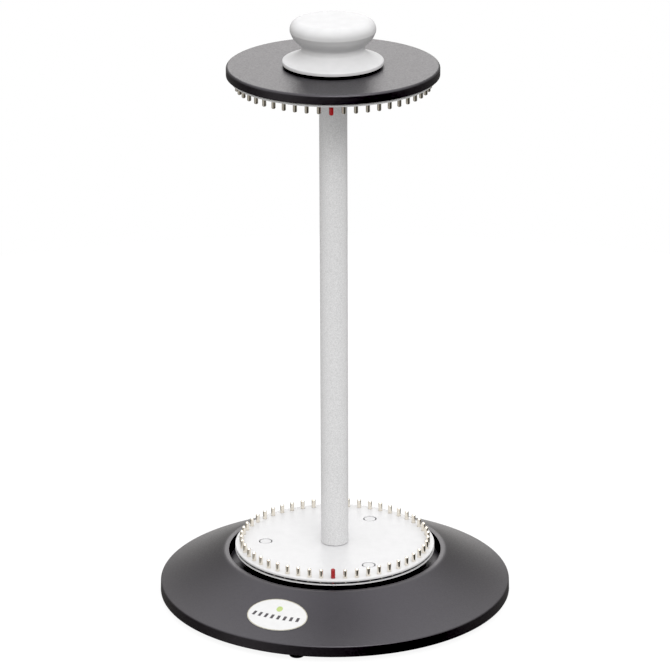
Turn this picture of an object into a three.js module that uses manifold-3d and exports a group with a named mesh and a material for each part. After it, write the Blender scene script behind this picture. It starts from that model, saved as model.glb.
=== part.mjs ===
// Rotary table file: a weighted foot, a turntable on a ball bearing, a column and a crown,
// with two facing rings of pins that hinged cards or panels hang between.
// Millimetres, +Z up, origin on the table under the turning axis. The index pins face -Y.
import * as THREE from 'three';
import { mergeVertices } from 'three/addons/utils/BufferGeometryUtils.js';
import Module from 'manifold-3d';

const wasm = await Module();
wasm.setup();
const { Manifold, Mesh: SolidMesh } = wasm;

// ---- driving dimensions ------------------------------------------------------------------
const GAP = 0.3; // clearance between neighbouring pieces
const ROUND = 48; // facets of the large discs
const RACE_ROUND = 36; // facets of the bearing and the knob
const TUBE_ROUND = 32; // facets of the column
const SMALL_ROUND = 16; // facets of shafts and spacers
const CAP_ROUND = 12; // facets of feet, caps and bosses
const SCREW_ROUND = 10; // facets of screws and their holes
const PIN_ROUND = 6; // facets of a pin and of its hole

// foot
const FOOT_DROP = 3.5; // how far the rubber feet stand out under the foot's rim
const FOOT_COUNT = 4;
const FOOT_CIRCLE_R = 107.2;
const FOOT_R = 5;
const FOOT_CHAMFER = 0.7;
const FOOT_RECESS_R = 3; // recess for the screw's head
const FOOT_RECESS = 2.4;
const FOOT_FIRST_DEG = -102.1; // the first rubber foot, a little left of the front

const BASE_R = 115.6; // lower edge of the rim
const RIM_TOP_R = 115.4; // upper edge of the rim, with a slight draft
const RIM_HEIGHT = 6.5;
const RIM_FILLET = 1.1;
const LIP_R = 69.9; // wall of the recess
const LIP_Z = 30.8; // top of the lip round the recess
const LIP_CHAMFER = 0.8;
const LIP_LAND_R = 72; // outer edge of the lip's flat land
const LIP_SHOULDER = [73.6, 30.4]; // a point on the lip's rounded outer edge
const CONE_INNER_R = 75.5;
const CONE_OUTER_R = 114.3;
const CONE_INNER_Z = 29.4;
const CONE_INNER_SLOPE = 0.62; // the cone is steepest at the lip and flattens towards the rim
const CONE_OUTER_SLOPE = 0.32;
const SHELL = 2.4; // wall of the moulded foot
const SHELL_DROP = 2.8; // the same wall, measured straight down through the cone
const RIM_WALL = 2.6;
const RIM_INNER_TOP_Z = 8.6;
const WELL_FLOOR_Z = 22.5;
const RIB_COUNT = 8;
const RIB_THICK = 2;
const RIB_OUTER_R = 98;
const RIB_OVERLAP = 1.2; // how far a rib runs into the wall it joins
const BOSS_R = 3;
const BOSS_TOP_Z = 12.2; // inside the wall of the cone
const BOSS_HOLE_TOP_Z = 10.8;

const SHEET = 2; // steel bottom plate
const BASE_PLATE_Z = FOOT_DROP + 0.6;
const BALLAST_INNER_R = 42;
const BALLAST_OUTER_R = RIB_OUTER_R;
const BALLAST_THICK = 7;

// fasteners
const SCREW_R = 1.5; // self-tapping screws in the foot and the crown
const SCREW_HOLE_R = SCREW_R + GAP;
const FOOT_SCREW_HEAD_R = 2.7;
const FOOT_SCREW_HEAD_Z = 0.6; // lower face of the head, clear of the table
const FOOT_SCREW_HEAD = 1.5;
const FOOT_SCREW_TIP_Z = 10.4;
const CROWN_SCREW_HEAD_R = 3.2;
const CROWN_SCREW_HEAD = 1.7;
const CROWN_SCREW_TIP_Z = 360.5;
const PLATE_SCREW_R = 2;
const PLATE_SCREW_HOLE_R = PLATE_SCREW_R + GAP;
const PLATE_SCREW_HEAD_R = 3.6;
const PLATE_SCREW_HEAD = 1.2;
const PLATE_SCREW_TIP_Z = 30;
const TIP = 0.3; // chamfer at the end of a screw

// spindle and hub
const SPINDLE_R = 4;
const SPINDLE_BOTTOM_Z = 1;
const SPINDLE_SHOULDER_R = 8;
const SPINDLE_SHOULDER_Z = 28.9;
const SPINDLE_FLANGE_R = 18;
const SPINDLE_FLANGE_THICK = 3;
const SPINDLE_THREAD_R = 2.4; // tapped hole in the upper end
const SPINDLE_THREAD_Z = 38; // bottom of that hole
const NUT_R = 7.5; // over the corners
const NUT_BOTTOM_Z = 0.8;
const HUB_R = 6.5;
const HUB_FLANGE_R = 20;
const HUB_TOP_Z = 48.7;
const RETAINER_R = 6.2;
const RETAINER_THICK = 1.5;
const RETAINER_SCREW_R = 2;
const RETAINER_SCREW_HEAD_R = 4.5;
const RETAINER_SCREW_HEAD = 3;
const SPACER_R = 16;

// bearing
const BALL_R = 2.6;
const BALL_COUNT = 12;
const BALL_CIRCLE_R = 40;
const BALL_Z = 27.1;
const CAGE_HALF_WIDTH = 4;
const CAGE_HALF_THICK = 0.8;
const RACE_INNER_R = 33;
const LOWER_RACE_R = 47;
const UPPER_RACE_R = 50.7;
const LOWER_RACE_TOP = 24.9;

// pin discs
const PLATE_R = 65.8; // all four pin discs
const PIN_PLATE_THICK = 1.5; // the disc that the pins come out of
const BACK_PLATE_THICK = 1.2; // the disc behind it
const PLATE_SPACE = 1.2; // open slot between the two
const TURNTABLE_Z = 35.6; // upper face of the turntable
const CROWN_Z = 353.9; // lower face of the crown's pin disc

const PIN_COUNT = 50; // places on each ring: 49 steel pins and one index pin
const PIN_CIRCLE_R = 61.7;
const PIN_R = 1.3;
const PIN_LENGTH = 5.8; // above the disc
const PIN_TIP = 0.9; // length of the tip
const PIN_CLEAR = 0.36; // round a pin in its six-sided hole
const INDEX_PIN_R = 1.4;
const INDEX_PIN_LENGTH = 6.5;
const PIN_RING_INNER_R = 54;
const PIN_RING_OUTER_R = 61;

const CAP_COUNT = 3;
const CAP_CIRCLE_R = 45.7;
const CAP_R = 4.2;
const CAP_FIRST_DEG = 60;
const CAP_THICK = 0.6;
const CAP_BELOW = 0.1; // how far a cap lies below the disc's face

// column
const COLUMN_R = 9;
const COLUMN_BORE_R = 6.8;
const COLUMN_PLUG_Z = 326;

// crown
const CROWN_COVER_R = 68.1;
const CROWN_COVER_BOTTOM_Z = 356.1;
const CROWN_COVER_TOP_Z = 362.3;
const CROWN_COVER_FILLET = 1.3;
const CROWN_COVER_SKIN = 2.4;
const CROWN_COVER_SEAT_R = 62; // inner edge of the seat that rests on the backing plate
const CROWN_COVER_PLAY = 0.4; // between the skirt and the discs' edge
const CROWN_BOSS_R = 14; // round the stud
const CROWN_SCREW_BOSS_R = 4;

// knob
const STUD_R = 4;
const STUD_BOTTOM_Z = 332;
const STUD_TOP_Z = 376.5;
const INSERT_R = 7;
const KNOB_WASHER_R = 24;
const KNOB_BOTTOM_Z = 363.5;
const KNOB_TOP_Z = 391.9;
const KNOB_FLANGE_R = 32.35;
const KNOB_FLANGE_THICK = 1.9;
const KNOB_FLANGE_EDGE = 0.8; // rounding of the flange's edges
const KNOB_HEAD_R = 27.4;
const KNOB_HEAD_FILLET = 5.6;
// Outline between the flange and the head: radius, and height above the knob's lower face.
const KNOB_NECK = [
  [26.8, 3.9],
  [22.6, 6.5],
  [20.5, 9.1],
  [20.3, 10.9],
  [21.9, 13.9],
  [23.9, 14.8],
  [26, 17.5],
  [27.1, 20.5],
];

// label
const LABEL_ANGLE_DEG = -22.6; // from the front, towards -X
const LABEL_WIDTH = 41.5;
const LABEL_HEIGHT = 26.5;
const LABEL_THICK = 0.3;
const LABEL_SLOPE_LENGTH = 20.2; // from the cone's inner edge down to the label's centre
const LABEL_ROUND = 24; // facets

// ---- derived levels ----------------------------------------------------------------------
const BASE_PLATE_TOP = BASE_PLATE_Z + SHEET;
const BALLAST_TOP = BASE_PLATE_TOP + GAP + BALLAST_THICK;
const CLEAR_R = SPINDLE_R + GAP; // any hole that a 4 mm radius shaft passes through
const HUB_CLEAR_R = HUB_R + GAP;
const TOP_PLATE_Z = TURNTABLE_Z - PIN_PLATE_THICK;
const BOTTOM_PLATE_Z = TOP_PLATE_Z - PLATE_SPACE - BACK_PLATE_THICK;
const SLOT_FILL = PLATE_SPACE - 2 * GAP; // thickness of what lies between two discs
const TURNTABLE_SLOT_Z = BOTTOM_PLATE_Z + BACK_PLATE_THICK + GAP;
const CROWN_SLOT_Z = CROWN_Z + PIN_PLATE_THICK + GAP;
const CROWN_BACK_Z = CROWN_Z + PIN_PLATE_THICK + PLATE_SPACE;
const CROWN_SEAT_Z = CROWN_BACK_Z + BACK_PLATE_THICK + GAP;
const CROWN_SKIN_Z = CROWN_COVER_TOP_Z - CROWN_COVER_SKIN;
const COLUMN_BOTTOM_Z = TURNTABLE_Z + GAP;
const COLUMN_TOP_Z = CROWN_Z - GAP;
const INSERT_TOP_Z = STUD_TOP_Z + 1.5;
const UPPER_RACE_BOTTOM = 2 * BALL_Z - LOWER_RACE_TOP;
const GROOVE_R = BALL_R + GAP;

// ---- helpers -----------------------------------------------------------------------------
const radians = THREE.MathUtils.degToRad;
const degrees = THREE.MathUtils.radToDeg;

const list = (count, make) => Array.from({ length: count }, (_, i) => make(i));

function onCircle(radius, angle) {
  return [radius * Math.cos(radians(angle)), radius * Math.sin(radians(angle))];
}

// Points of a circular arc in a profile, from one angle to another.
function arc(centreR, centreZ, radius, fromDeg, toDeg, steps) {
  return list(steps + 1, (i) => {
    const [dr, dz] = onCircle(radius, fromDeg + ((toDeg - fromDeg) * i) / steps);
    return [centreR + dr, centreZ + dz];
  });
}

// A three.js geometry with shared vertices and no zero-area triangles.
function welded(geometry) {
  const bare = geometry.clone();
  bare.deleteAttribute('normal');
  bare.deleteAttribute('uv');
  const merged = mergeVertices(bare, 1e-4);
  const kept = [];
  for (let i = 0; i < merged.index.count; i += 3) {
    const [a, b, c] = [0, 1, 2].map((k) => merged.index.getX(i + k));
    if (a !== b && b !== c && c !== a) kept.push(a, b, c);
  }
  merged.setIndex(kept);
  return merged;
}

function toSolid(geometry) {
  const mesh = welded(geometry);
  return new Manifold(new SolidMesh({
    numProp: 3,
    vertProperties: new Float32Array(mesh.attributes.position.array),
    triVerts: new Uint32Array(mesh.index.array),
  }));
}

function toGeometry(solid) {
  const mesh = solid.getMesh();
  const geometry = new THREE.BufferGeometry();
  geometry.setAttribute('position', new THREE.BufferAttribute(mesh.vertProperties, 3));
  geometry.setIndex(new THREE.BufferAttribute(mesh.triVerts, 1));
  geometry.computeVertexNormals();
  return geometry;
}

const joined = (geometries) => toGeometry(geometries.map(toSolid).reduce((a, b) => a.add(b)));

function cut(body, tools) {
  return toGeometry(tools.map(toSolid).reduce((a, b) => a.subtract(b), toSolid(body)));
}

// Turns a profile of [radius, z] points about the Z axis. It runs counter-clockwise, and it
// starts and ends on the axis or, when closed is true, returns to its first point.
function turned(profile, facets = ROUND, closed = false) {
  const whole = closed ? [...profile, profile[0]] : profile;
  const points = whole.map(([r, z]) => new THREE.Vector2(r, z));
  return welded(new THREE.LatheGeometry(points, facets).rotateX(Math.PI / 2));
}

function ring(inner, outer, bottom, top, facets = ROUND) {
  return turned([[inner, bottom], [outer, bottom], [outer, top], [inner, top]], facets, true);
}

function rod(radius, bottom, top, facets = SMALL_ROUND) {
  return turned([[0, bottom], [radius, bottom], [radius, top], [0, top]], facets);
}

// Draws a regular polygon into a shape or path, in line with the facets of a turned piece.
function polygon(path, x, y, radius, facets) {
  const corners = list(facets, (i) => onCircle(radius, (i * 360) / facets - 90));
  return path.setFromPoints(corners.map(([dx, dy]) => new THREE.Vector2(x + dx, y + dy)));
}

// A flat disc with holes, each given as [x, y, radius, facets].
function drilledDisc(radius, holes, thick, bottom) {
  const outline = polygon(new THREE.Shape(), 0, 0, radius, ROUND);
  outline.holes = holes.map((hole) => polygon(new THREE.Path(), ...hole));
  const disc = new THREE.ExtrudeGeometry(outline, { depth: thick, bevelEnabled: false });
  return disc.translate(0, 0, bottom);
}

const moved = (geometry, x, y, z = 0) => geometry.clone().translate(x, y, z);

// A copy of a geometry at each of the places given as [x, y].
const copies = (geometry, places) => places.map(([x, y]) => moved(geometry, x, y));

// Height of the moulded foot's upper surface between the lip and the rim.
function coneHeight(radius) {
  const run = radius - CONE_INNER_R;
  const flattening = (CONE_INNER_SLOPE - CONE_OUTER_SLOPE) / (CONE_OUTER_R - CONE_INNER_R);
  return CONE_INNER_Z - CONE_INNER_SLOPE * run + (flattening * run * run) / 2;
}

function coneProfile(fromR, toR, drop, steps) {
  return list(steps + 1, (i) => {
    const r = fromR + ((toR - fromR) * i) / steps;
    return [r, coneHeight(r) - drop];
  });
}

// ---- repeated places ---------------------------------------------------------------------
const footPlaces = list(FOOT_COUNT, (i) =>
  onCircle(FOOT_CIRCLE_R, FOOT_FIRST_DEG + (i * 360) / FOOT_COUNT));
const capPlaces = list(CAP_COUNT, (i) =>
  onCircle(CAP_CIRCLE_R, CAP_FIRST_DEG + (i * 360) / CAP_COUNT));
// The first place, at -Y, is the index pin's.
const pinPlaces = list(PIN_COUNT, (i) => onCircle(PIN_CIRCLE_R, -90 + (i * 360) / PIN_COUNT));

// ---- materials ---------------------------------------------------------------------------
const finishes = {
  black: { color: '#4c4b4e', roughness: 0.55, metalness: 0 },
  white: { color: '#f0f0f2', roughness: 0.45, metalness: 0 },
  satin: { color: '#d2d2d3', roughness: 0.4, metalness: 0.3 },
  chrome: { color: '#c9c7c2', roughness: 0.12, metalness: 1 },
  steel: { color: '#9b9da0', roughness: 0.35, metalness: 1 },
  zinc: { color: '#aeb1b5', roughness: 0.4, metalness: 1 },
  iron: { color: '#3b3c3e', roughness: 0.7, metalness: 0.8 },
  brass: { color: '#b08d45', roughness: 0.35, metalness: 1 },
  rubber: { color: '#161616', roughness: 0.9, metalness: 0 },
  dark: { color: '#1d1d1f', roughness: 0.5, metalness: 0 },
  red: { color: '#8f2b2b', roughness: 0.3, metalness: 0 },
  label: { color: '#f5f5f5', roughness: 0.35, metalness: 0 },
};

const object = new THREE.Group();

function place(name, finish, geometry) {
  const mesh = new THREE.Mesh(geometry, new THREE.MeshStandardMaterial(finishes[finish]));
  mesh.name = name;
  object.add(mesh);
}

// Places a numbered copy of a geometry at each of the places given as [x, y].
function placeAll(name, finish, geometry, places) {
  places.forEach(([x, y], i) => place(`${name}_${i + 1}`, finish, moved(geometry, x, y)));
}

// ---- the foot ----------------------------------------------------------------------------
// The moulded shell: rim, concave cone, rounded lip and the recess with its floor.
function coverShell() {
  const rimInnerR = BASE_R - RIM_WALL;
  const rimTop = FOOT_DROP + RIM_HEIGHT;
  const floorHoleR = SPINDLE_SHOULDER_R + GAP;
  const recessOuterR = LIP_R + SHELL;
  return turned([
    [rimInnerR, FOOT_DROP],
    [BASE_R, FOOT_DROP],
    [RIM_TOP_R, rimTop],
    ...arc(RIM_TOP_R - RIM_FILLET, rimTop, RIM_FILLET, 30, 75, 1),
    ...coneProfile(CONE_OUTER_R - RIM_FILLET / 2, CONE_INNER_R, 0, 6),
    LIP_SHOULDER,
    [LIP_LAND_R, LIP_Z],
    [LIP_R + LIP_CHAMFER, LIP_Z],
    [LIP_R, LIP_Z - LIP_CHAMFER],
    [LIP_R, WELL_FLOOR_Z],
    [floorHoleR, WELL_FLOOR_Z],
    [floorHoleR, WELL_FLOOR_Z - SHELL],
    [recessOuterR, WELL_FLOOR_Z - SHELL],
    ...coneProfile(recessOuterR + SHELL, rimInnerR - SHELL, SHELL_DROP, 3),
    [rimInnerR, RIM_INNER_TOP_Z],
  ], ROUND, true);
}

// A triangular rib from the recess wall to the underside of the cone, above the ballast.
function coverRib(angle) {
  const bottom = BALLAST_TOP + GAP;
  const inner = LIP_R + SHELL - RIB_OVERLAP;
  const outline = new THREE.Shape();
  outline.moveTo(inner, bottom);
  outline.lineTo(RIB_OUTER_R, bottom);
  for (const [r, z] of coneProfile(RIB_OUTER_R, CONE_INNER_R, RIB_OVERLAP, 2)) {
    outline.lineTo(r, z);
  }
  outline.lineTo(inner, coneHeight(CONE_INNER_R) - RIB_OVERLAP);
  const rib = new THREE.ExtrudeGeometry(outline, { depth: RIB_THICK, bevelEnabled: false });
  return rib.translate(0, 0, -RIB_THICK / 2).rotateX(Math.PI / 2).rotateZ(radians(angle));
}

function baseCover() {
  const bossBottom = BASE_PLATE_TOP + GAP;
  const bosses = copies(rod(BOSS_R, bossBottom, BOSS_TOP_Z, CAP_ROUND), footPlaces);
  const ribs = list(RIB_COUNT, (i) => coverRib(((i + 0.5) * 360) / RIB_COUNT));
  const hole = rod(SCREW_HOLE_R, bossBottom - 1, BOSS_HOLE_TOP_Z, SCREW_ROUND);
  return cut(joined([coverShell(), ...bosses, ...ribs]), copies(hole, footPlaces));
}

function basePlate() {
  const screwHoles = footPlaces.map(([x, y]) => [x, y, SCREW_HOLE_R, SCREW_ROUND]);
  const holes = [[0, 0, CLEAR_R, SMALL_ROUND], ...screwHoles];
  return drilledDisc(BASE_R - RIM_WALL - GAP, holes, SHEET, BASE_PLATE_Z);
}

// A rubber foot, open below round the screw's head.
function rubberFoot() {
  const top = BASE_PLATE_Z - GAP;
  return turned([
    [FOOT_RECESS_R, 0],
    [FOOT_R - FOOT_CHAMFER, 0],
    [FOOT_R, FOOT_CHAMFER],
    [FOOT_R, top],
    [SCREW_HOLE_R, top],
    [SCREW_HOLE_R, FOOT_RECESS],
    [FOOT_RECESS_R, FOOT_RECESS],
  ], CAP_ROUND, true);
}

function footScrew() {
  const headTop = FOOT_SCREW_HEAD_Z + FOOT_SCREW_HEAD;
  return turned([
    [0, FOOT_SCREW_HEAD_Z],
    [FOOT_SCREW_HEAD_R - 2 * TIP, FOOT_SCREW_HEAD_Z],
    [FOOT_SCREW_HEAD_R, FOOT_SCREW_HEAD_Z + TIP],
    [FOOT_SCREW_HEAD_R, headTop],
    [SCREW_R, headTop],
    [SCREW_R, FOOT_SCREW_TIP_Z - TIP],
    [0, FOOT_SCREW_TIP_Z],
  ], SCREW_ROUND);
}

function spindle() {
  const flangeBottom = BASE_PLATE_TOP + GAP;
  const flangeTop = flangeBottom + SPINDLE_FLANGE_THICK;
  const top = HUB_TOP_Z + GAP;
  const body = turned([
    [0, SPINDLE_BOTTOM_Z],
    [SPINDLE_R, SPINDLE_BOTTOM_Z],
    [SPINDLE_R, flangeBottom],
    [SPINDLE_FLANGE_R, flangeBottom],
    [SPINDLE_FLANGE_R, flangeTop],
    [SPINDLE_SHOULDER_R, flangeTop],
    [SPINDLE_SHOULDER_R, SPINDLE_SHOULDER_Z],
    [SPINDLE_R, SPINDLE_SHOULDER_Z],
    [SPINDLE_R, top],
    [0, top],
  ], SMALL_ROUND);
  return cut(body, [rod(SPINDLE_THREAD_R, SPINDLE_THREAD_Z, top + 1, SCREW_ROUND)]);
}

function spindleNut() {
  const top = BASE_PLATE_Z - GAP;
  return cut(rod(NUT_R, NUT_BOTTOM_Z, top, 6), [rod(CLEAR_R, NUT_BOTTOM_Z - 1, top + 1)]);
}

function retainingScrew(headBottom) {
  const tip = SPINDLE_THREAD_Z + 1;
  const headTop = headBottom + RETAINER_SCREW_HEAD;
  return turned([
    [0, tip],
    [RETAINER_SCREW_R, tip + TIP],
    [RETAINER_SCREW_R, headBottom],
    [RETAINER_SCREW_HEAD_R, headBottom],
    [RETAINER_SCREW_HEAD_R, headTop - 1],
    [RETAINER_SCREW_HEAD_R - 1.5, headTop],
    [0, headTop],
  ], SCREW_ROUND);
}

function placeFoot() {
  const ballastBottom = BASE_PLATE_TOP + GAP;
  place('base_cover', 'black', baseCover());
  place('base_plate', 'steel', basePlate());
  place('ballast_ring', 'iron', ring(BALLAST_INNER_R, BALLAST_OUTER_R, ballastBottom, BALLAST_TOP));
  placeAll('foot', 'rubber', rubberFoot(), footPlaces);
  placeAll('foot_screw', 'zinc', footScrew(), footPlaces);

  const washerBottom = HUB_TOP_Z + 2 * GAP;
  const washerTop = washerBottom + RETAINER_THICK;
  place('spindle', 'steel', spindle());
  place('spindle_nut', 'zinc', spindleNut());
  place('retaining_washer', 'zinc',
    ring(SPINDLE_THREAD_R, RETAINER_R, washerBottom, washerTop, SMALL_ROUND));
  place('retaining_screw', 'zinc', retainingScrew(washerTop + GAP));
}

// ---- the thrust bearing ------------------------------------------------------------------
// The part of a ball groove that is cut into a race, round the side at the given angle.
function groove(centreDeg) {
  const halfDeg = degrees(Math.acos((BALL_Z - LOWER_RACE_TOP) / GROOVE_R));
  return arc(BALL_CIRCLE_R, BALL_Z, GROOVE_R, centreDeg + halfDeg, centreDeg - halfDeg, 2);
}

function lowerRace() {
  const bottom = WELL_FLOOR_Z + GAP;
  return turned([
    [RACE_INNER_R, bottom],
    [LOWER_RACE_R, bottom],
    [LOWER_RACE_R, LOWER_RACE_TOP],
    ...groove(270),
    [RACE_INNER_R, LOWER_RACE_TOP],
  ], RACE_ROUND, true);
}

// The upper race reaches out to the plate screws, which hold the discs to it.
function upperRace() {
  const top = BOTTOM_PLATE_Z - GAP;
  const race = turned([
    [RACE_INNER_R, UPPER_RACE_BOTTOM],
    ...groove(90),
    [UPPER_RACE_R, UPPER_RACE_BOTTOM],
    [UPPER_RACE_R, top],
    [RACE_INNER_R, top],
  ], RACE_ROUND, true);
  const hole = rod(PLATE_SCREW_HOLE_R, UPPER_RACE_BOTTOM - 1, top + 1, SCREW_ROUND);
  return cut(race, copies(hole, capPlaces));
}

function ballCage() {
  const ball = new THREE.OctahedronGeometry(BALL_R, 1);
  const balls = list(BALL_COUNT, (i) =>
    moved(ball, ...onCircle(BALL_CIRCLE_R, (i * 360) / BALL_COUNT), BALL_Z));
  const inner = BALL_CIRCLE_R - CAGE_HALF_WIDTH;
  const outer = BALL_CIRCLE_R + CAGE_HALF_WIDTH;
  const cage = ring(inner, outer, BALL_Z - CAGE_HALF_THICK, BALL_Z + CAGE_HALF_THICK, RACE_ROUND);
  return joined([cage, ...balls]);
}

function placeBearing() {
  place('bearing_lower_race', 'steel', lowerRace());
  place('bearing_ball_cage', 'steel', ballCage());
  place('bearing_upper_race', 'steel', upperRace());
}

// ---- pins and their discs ----------------------------------------------------------------
// A disc with a centre hole, three holes for screws or caps and, if pinned, one for each pin.
function pinDisc({ bottom, thick, centreR, capHoleR, pinned }) {
  const holes = [[0, 0, centreR, SMALL_ROUND]];
  capPlaces.forEach(([x, y]) => holes.push([x, y, capHoleR, CAP_ROUND]));
  if (pinned) {
    pinPlaces.forEach(([x, y], i) => {
      const pinR = i === 0 ? INDEX_PIN_R : PIN_R;
      holes.push([x, y, pinR + PIN_CLEAR, PIN_ROUND]);
    });
  }
  return drilledDisc(PLATE_R, holes, thick, bottom);
}

// A pin with a conical tip that stands on z = 0, in the slot behind its disc, and rises the
// given length above the disc.
function pin(radius, length) {
  const height = SLOT_FILL + GAP + PIN_PLATE_THICK + length;
  return turned([[0, 0], [radius, 0], [radius, height - PIN_TIP], [0, height]], PIN_ROUND);
}

// The flat carrier and its 49 pins, standing on z = 0, with the index place left free.
function pinRing() {
  const [indexPlace, ...others] = pinPlaces;
  const carrier = ring(PIN_RING_INNER_R, PIN_RING_OUTER_R, 0, SLOT_FILL);
  const notch = rod(INDEX_PIN_R + GAP, -1, SLOT_FILL + 1, CAP_ROUND);
  const pins = copies(pin(PIN_R, PIN_LENGTH), others);
  return joined([cut(carrier, [moved(notch, ...indexPlace)]), ...pins]);
}

const indexPin = () => moved(pin(INDEX_PIN_R, INDEX_PIN_LENGTH), ...pinPlaces[0]);

// Mirrored in the plane z = 0, so that it points down, with its faces turned to match.
function upsideDown(geometry) {
  const mirrored = welded(geometry.clone().scale(1, 1, -1));
  return mirrored.setIndex(Array.from(mirrored.index.array).reverse());
}

function plateScrew() {
  const headTop = TURNTABLE_SLOT_Z + PLATE_SCREW_HEAD;
  return turned([
    [0, PLATE_SCREW_TIP_Z],
    [PLATE_SCREW_R, PLATE_SCREW_TIP_Z + TIP],
    [PLATE_SCREW_R, TURNTABLE_SLOT_Z],
    [PLATE_SCREW_HEAD_R, TURNTABLE_SLOT_Z],
    [PLATE_SCREW_HEAD_R, headTop],
    [0, headTop + 0.2],
  ], SCREW_ROUND);
}

// The flanged sleeve that runs on the spindle and carries the column.
function hub() {
  const bottom = SPINDLE_SHOULDER_Z + GAP;
  const flangeTop = BOTTOM_PLATE_Z - GAP;
  return turned([
    [CLEAR_R, bottom],
    [HUB_FLANGE_R, bottom],
    [HUB_FLANGE_R, flangeTop],
    [HUB_R, flangeTop],
    [HUB_R, HUB_TOP_Z],
    [CLEAR_R, HUB_TOP_Z],
  ], SMALL_ROUND, true);
}

function placeTurntable() {
  const slotZ = TURNTABLE_SLOT_Z;
  const capTop = TURNTABLE_Z - CAP_BELOW;
  place('turntable_bottom_plate', 'white', pinDisc({
    bottom: BOTTOM_PLATE_Z,
    thick: BACK_PLATE_THICK,
    centreR: HUB_CLEAR_R,
    capHoleR: PLATE_SCREW_HOLE_R,
    pinned: false,
  }));
  place('turntable_top_plate', 'white', pinDisc({
    bottom: TOP_PLATE_Z,
    thick: PIN_PLATE_THICK,
    centreR: HUB_CLEAR_R,
    capHoleR: CAP_R + GAP,
    pinned: true,
  }));
  place('turntable_pin_ring', 'chrome', moved(pinRing(), 0, 0, slotZ));
  place('turntable_index_pin', 'red', moved(indexPin(), 0, 0, slotZ));
  place('plate_spacer', 'zinc', ring(HUB_CLEAR_R, SPACER_R, slotZ, slotZ + SLOT_FILL, SMALL_ROUND));
  place('turntable_hub', 'steel', hub());
  placeAll('plate_screw', 'zinc', plateScrew(), capPlaces);
  placeAll('screw_cap', 'white', rod(CAP_R, capTop - CAP_THICK, capTop, CAP_ROUND), capPlaces);
}

// ---- the column --------------------------------------------------------------------------
function placeColumn() {
  const plugTop = COLUMN_TOP_Z - GAP;
  place('column_tube', 'satin',
    ring(COLUMN_BORE_R, COLUMN_R, COLUMN_BOTTOM_Z, COLUMN_TOP_Z, TUBE_ROUND));
  place('column_plug', 'steel',
    ring(CLEAR_R, COLUMN_BORE_R - GAP, COLUMN_PLUG_Z, plugTop, SMALL_ROUND));
}

// ---- the crown ---------------------------------------------------------------------------
function crownCover() {
  const filletZ = CROWN_COVER_TOP_Z - CROWN_COVER_FILLET;
  const skirtInnerR = PLATE_R + CROWN_COVER_PLAY;
  const shell = turned([
    [CLEAR_R, CROWN_SEAT_Z],
    [CROWN_BOSS_R, CROWN_SEAT_Z],
    [CROWN_BOSS_R, CROWN_SKIN_Z],
    [CROWN_COVER_SEAT_R, CROWN_SKIN_Z],
    [CROWN_COVER_SEAT_R, CROWN_SEAT_Z],
    [skirtInnerR, CROWN_SEAT_Z],
    [skirtInnerR, CROWN_COVER_BOTTOM_Z],
    [CROWN_COVER_R, CROWN_COVER_BOTTOM_Z],
    ...arc(CROWN_COVER_R - CROWN_COVER_FILLET, filletZ, CROWN_COVER_FILLET, 0, 90, 2),
    [CLEAR_R, CROWN_COVER_TOP_Z],
  ], ROUND, true);
  const boss = rod(CROWN_SCREW_BOSS_R, CROWN_SEAT_Z, CROWN_SKIN_Z + 1, SCREW_ROUND);
  const hole = rod(SCREW_HOLE_R, CROWN_SEAT_Z - 1, CROWN_SCREW_TIP_Z + GAP, SCREW_ROUND);
  return cut(joined([shell, ...copies(boss, capPlaces)]), copies(hole, capPlaces));
}

// The screws go up through both discs into the cover, with their heads below the pin disc.
function crownScrew() {
  const headTop = CROWN_Z - GAP;
  const headBottom = headTop - CROWN_SCREW_HEAD;
  return turned([
    [0, headBottom],
    [CROWN_SCREW_HEAD_R - 0.8, headBottom + TIP],
    [CROWN_SCREW_HEAD_R, headTop],
    [SCREW_R, headTop],
    [SCREW_R, CROWN_SCREW_TIP_Z - TIP],
    [0, CROWN_SCREW_TIP_Z],
  ], SCREW_ROUND);
}

function placeCrown() {
  const holes = { centreR: CLEAR_R, capHoleR: SCREW_HOLE_R };
  place('crown_pin_plate', 'white',
    pinDisc({ ...holes, bottom: CROWN_Z, thick: PIN_PLATE_THICK, pinned: true }));
  place('crown_backing_plate', 'white',
    pinDisc({ ...holes, bottom: CROWN_BACK_Z, thick: BACK_PLATE_THICK, pinned: false }));
  const slotTop = CROWN_SLOT_Z + SLOT_FILL;
  place('crown_pin_ring', 'chrome', moved(upsideDown(pinRing()), 0, 0, slotTop));
  place('crown_index_pin', 'red', moved(upsideDown(indexPin()), 0, 0, slotTop));
  place('crown_spacer', 'zinc', ring(CLEAR_R, SPACER_R, CROWN_SLOT_Z, slotTop, SMALL_ROUND));
  place('crown_cover', 'black', crownCover());
  placeAll('crown_screw', 'zinc', crownScrew(), capPlaces);
}

// ---- the knob ----------------------------------------------------------------------------
function knob() {
  const boreR = INSERT_R + GAP;
  const boreTop = INSERT_TOP_Z + GAP;
  const edge = KNOB_FLANGE_EDGE;
  const headR = KNOB_HEAD_R - KNOB_HEAD_FILLET;
  const headZ = KNOB_TOP_Z - KNOB_HEAD_FILLET;
  return turned([
    [boreR, KNOB_BOTTOM_Z],
    [KNOB_FLANGE_R - edge, KNOB_BOTTOM_Z],
    [KNOB_FLANGE_R, KNOB_BOTTOM_Z + edge],
    [KNOB_FLANGE_R, KNOB_BOTTOM_Z + KNOB_FLANGE_THICK],
    [KNOB_FLANGE_R - edge, KNOB_BOTTOM_Z + KNOB_FLANGE_THICK + edge],
    ...KNOB_NECK.map(([r, height]) => [r, KNOB_BOTTOM_Z + height]),
    ...arc(headR, headZ, KNOB_HEAD_FILLET, 0, 90, 3),
    [0, KNOB_TOP_Z],
    [0, boreTop],
    [boreR, boreTop],
    [boreR, KNOB_BOTTOM_Z],
  ], RACE_ROUND);
}

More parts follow.
